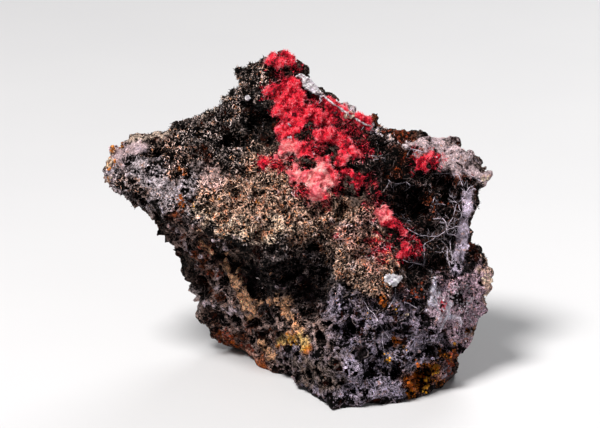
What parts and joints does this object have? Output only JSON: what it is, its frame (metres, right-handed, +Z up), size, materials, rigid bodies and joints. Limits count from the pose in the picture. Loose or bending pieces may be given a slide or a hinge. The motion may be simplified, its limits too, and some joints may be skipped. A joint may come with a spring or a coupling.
{
  "type": "mineral specimen",
  "caption": "Craggy hand-sized piece of dark oxidised rock with a boxwork surface and mats of hair-like scarlet crystals on its leaning display face, standing on a flat foot.",
  "frame": {"origin": "on the ground, under the middle of the specimen's bounding box", "axes": "+Z up, +X along the width of the display face to the viewer's right, -Y towards the viewer of the display face"},
  "size_m": [0.0806, 0.0492, 0.0664],
  "materials": {
    "dark_rock": "rough, pitted, black to rust brown with a pale lilac and cream crust",
    "red_hairs": "velvety mats of fine matted crystal hairs",
    "pale_calcite": "white cleavage faces with a soft glassy shine"
  },
  "bodies": {
    "root": {"matrix": "dark_rock", "chalcotrichite_crest": "red_hairs", "chalcotrichite_main": "red_hairs", "chalcotrichite_right": "red_hairs", "chalcotrichite_rim": "red_hairs", "chalcotrichite_middle": "red_hairs", "chalcotrichite_centre": "red_hairs", "chalcotrichite_lower": "red_hairs", "chalcotrichite_low_right": "red_hairs", "chalcotrichite_left_spot": "red_hairs", "chalcotrichite_hollow_spot": "red_hairs", "chalcotrichite_streak": "red_hairs", "chalcotrichite_ring": "red_hairs", "calcite_sliver": "pale_calcite", "pale_flake": "pale_calcite", "calcite_grain": "pale_calcite"}
  },
  "joints": []
}
